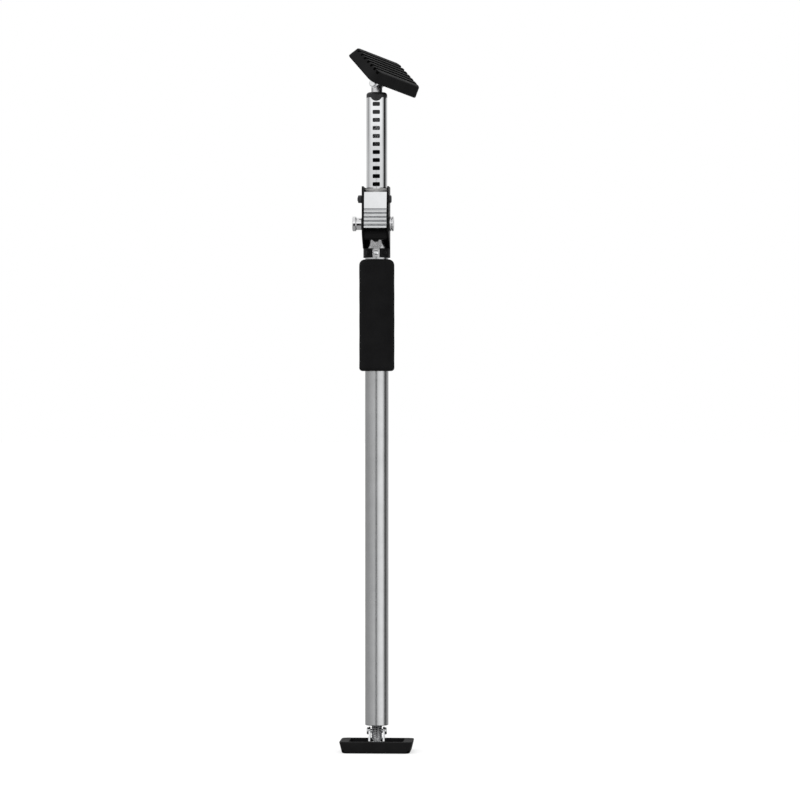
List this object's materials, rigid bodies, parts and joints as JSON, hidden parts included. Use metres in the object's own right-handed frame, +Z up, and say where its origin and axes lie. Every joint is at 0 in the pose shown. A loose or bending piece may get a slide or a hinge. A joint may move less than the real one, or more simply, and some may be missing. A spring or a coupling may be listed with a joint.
{
  "type": "drywall support prop",
  "caption": "Telescopic steel prop with a slotted inner tube, pump lever ratchet, foam hand grip and swivelling ribbed rubber pads at both ends.",
  "frame": {"origin": "on the floor under the tube axis, at the middle of the foot pad's ribbed sole", "axes": "+Z up along the tube axis, the pump lever faces -Y, +X to the right of someone facing the lever"},
  "size_m": [0.0947, 0.0951, 0.8426],
  "materials": {
    "satin_steel": "satin zinc-plated steel tube",
    "bright_zinc": "bright zinc-plated steel",
    "chrome": "polished chrome",
    "black_paint": "black powder coat",
    "black_oxide": "blackened steel",
    "foam": "soft closed-cell foam",
    "rubber": "ribbed moulded rubber",
    "grey_plastic": "dark grey moulded plastic",
    "pale_plastic": "pale grey moulded plastic",
    "spring_steel": "bright spring steel"
  },
  "bodies": {
    "stand": {"outer_tube": "satin_steel", "mouth_bush": "pale_plastic", "foam_grip": "foam", "housing": "black_paint", "housing_rivets": "bright_zinc", "lever_bolt": "black_oxide", "lever_nut": "black_oxide", "leaf_spring": "spring_steel", "spring_rivet": "bright_zinc", "foot_plug": "grey_plastic", "foot_stud": "bright_zinc"},
    "extension": {"inner_tube": "bright_zinc", "guide_bush": "grey_plastic", "head_cap": "grey_plastic", "head_stud": "bright_zinc"},
    "lever": {"pump_lever": "bright_zinc", "pawl_pin": "bright_zinc", "pawl_spring": "spring_steel"},
    "pawl": {"drive_pawl": "bright_zinc"},
    "release": {"release_axle": "chrome", "knob_left": "chrome", "knob_right": "chrome", "holding_pawl": "bright_zinc", "release_tab": "black_paint"},
    "head_swivel": {"head_bracket": "bright_zinc", "head_rivet": "bright_zinc", "head_pin": "bright_zinc"},
    "head": {"head_pad": "rubber", "head_plate": "black_oxide"},
    "foot_swivel": {"foot_bracket": "bright_zinc", "foot_rivet": "bright_zinc", "foot_pin": "bright_zinc"},
    "foot": {"foot_pad": "rubber", "foot_plate": "black_oxide"}
  },
  "joints": [
    {"name": "tube_slide", "type": "slide", "parent": "stand", "child": "extension", "axis": [0, 0, 1], "range_m": [-0.096, 0.336]},
    {"name": "lever_swing", "type": "hinge", "parent": "stand", "child": "lever", "pos_m": [0, -0.025, 0.6616], "axis": [-1, 0, 0], "range_deg": [0, 60]},
    {"name": "pawl_swing", "type": "hinge", "parent": "lever", "child": "pawl", "pos_m": [0, -0.017, 0.6651], "axis": [1, 0, 0], "range_deg": [-12, 10], "stiffness_Nm_per_rad": 0.1},
    {"name": "release_turn", "type": "hinge", "parent": "stand", "child": "release", "pos_m": [0, -0.021, 0.6323], "axis": [1, 0, 0], "range_deg": [-12, 3], "stiffness_Nm_per_rad": 0.4},
    {"name": "head_tilt", "type": "hinge", "parent": "extension", "child": "head_swivel", "pos_m": [0, 0, 0.8014], "axis": [0.4289, 0.9033, 0], "range_deg": [-86, 4]},
    {"name": "head_spin", "type": "hinge", "parent": "head_swivel", "child": "head", "pos_m": [0, 0, 0.8014], "axis": [0.595, -0.2825, 0.7524], "continuous": true},
    {"name": "foot_tilt", "type": "hinge", "parent": "stand", "child": "foot_swivel", "pos_m": [0, 0, 0.025], "axis": [1, 0, 0], "range_deg": [-45, 45]},
    {"name": "foot_spin", "type": "hinge", "parent": "foot_swivel", "child": "foot", "pos_m": [0, 0, 0], "axis": [0, 0, 1], "continuous": true}
  ]
}
